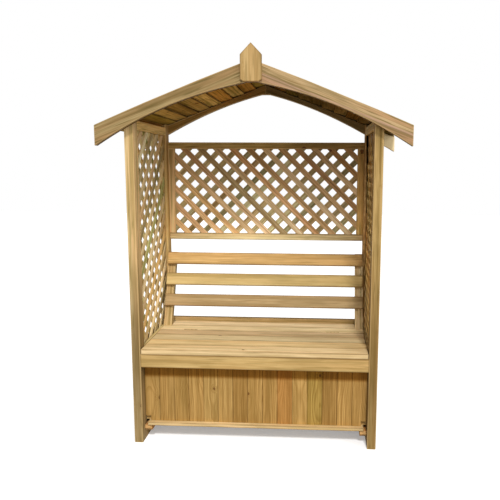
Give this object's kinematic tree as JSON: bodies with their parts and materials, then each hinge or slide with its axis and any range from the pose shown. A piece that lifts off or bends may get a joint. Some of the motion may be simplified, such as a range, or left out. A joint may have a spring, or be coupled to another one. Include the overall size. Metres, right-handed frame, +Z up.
{
  "type": "arbour seat",
  "caption": "Timber garden arbour with trellis sides and back, an arched lapped-board roof, a slatted reclined backrest and a storage bench with a hinged seat lid.",
  "frame": {"origin": "centre of the footprint of the whole arbour on the ground", "axes": "+X to the sitter's left along the bench, +Y from the front to the back, +Z up"},
  "size_m": [1.5, 0.758, 1.976],
  "materials": {
    "frame_timber": "planed softwood, preservative treated",
    "trellis_lath": "planed softwood, preservative treated",
    "fascia_board": "planed softwood, preservative treated",
    "arch_board": "planed softwood, preservative treated",
    "roof_board": "planed softwood, preservative treated",
    "seat_timber": "planed softwood, preservative treated",
    "box_board": "planed softwood, preservative treated",
    "hinge_steel": "zinc plated"
  },
  "bodies": {
    "frame": {"back_bottom_rail": "frame_timber", "back_front_laths": "trellis_lath", "back_rear_laths": "trellis_lath", "back_top_rail": "frame_timber", "backrest_lower_slat": "seat_timber", "backrest_middle_slat": "seat_timber", "backrest_upper_slat": "seat_timber", "box_back_boards": "box_board", "box_back_top_rail": "frame_timber", "box_battens": "frame_timber", "box_front_boards": "box_board", "finial": "fascia_board", "floor_boards": "box_board", "floor_front_board": "box_board", "hinge_frame_leaves": "hinge_steel", "hinge_pins": "hinge_steel", "left_back_stile": "frame_timber", "left_backrest_bracket": "frame_timber", "left_bottom_rail": "frame_timber", "left_floor_bearer": "frame_timber", "left_front_arch_board": "arch_board", "left_front_fascia": "fascia_board", "left_front_stile": "frame_timber", "left_inner_laths": "trellis_lath", "left_mid_rail": "frame_timber", "left_outer_laths": "trellis_lath", "left_rear_arch_board": "arch_board", "left_rear_fascia": "fascia_board", "left_rear_stile": "frame_timber", "left_roof_slats": "roof_board", "left_seat_bearer": "frame_timber", "left_side_boards": "box_board", "left_top_rail": "frame_timber", "right_back_stile": "frame_timber", "right_backrest_bracket": "frame_timber", "right_bottom_rail": "frame_timber", "right_floor_bearer": "frame_timber", "right_front_arch_board": "arch_board", "right_front_fascia": "fascia_board", "right_front_stile": "frame_timber", "right_inner_laths": "trellis_lath", "right_mid_rail": "frame_timber", "right_outer_laths": "trellis_lath", "right_rear_arch_board": "arch_board", "right_rear_fascia": "fascia_board", "right_rear_stile": "frame_timber", "right_roof_slats": "roof_board", "right_seat_bearer": "frame_timber", "right_side_boards": "box_board", "right_top_rail": "frame_timber", "seat_apron": "seat_timber", "seat_cross_rail": "seat_timber", "seat_fixed_front_board": "seat_timber", "seat_fixed_rear_board": "seat_timber"},
    "lid": {"lid_board_1": "seat_timber", "lid_board_2": "seat_timber", "lid_board_3": "seat_timber", "lid_board_4": "seat_timber", "lid_battens": "frame_timber", "hinge_lid_leaves": "hinge_steel"}
  },
  "joints": [
    {"name": "lid_hinge", "type": "hinge", "parent": "frame", "child": "lid", "pos_m": [0, 0.047, 0.5], "axis": [-1, 0, 0], "range_deg": [0, 118]}
  ]
}
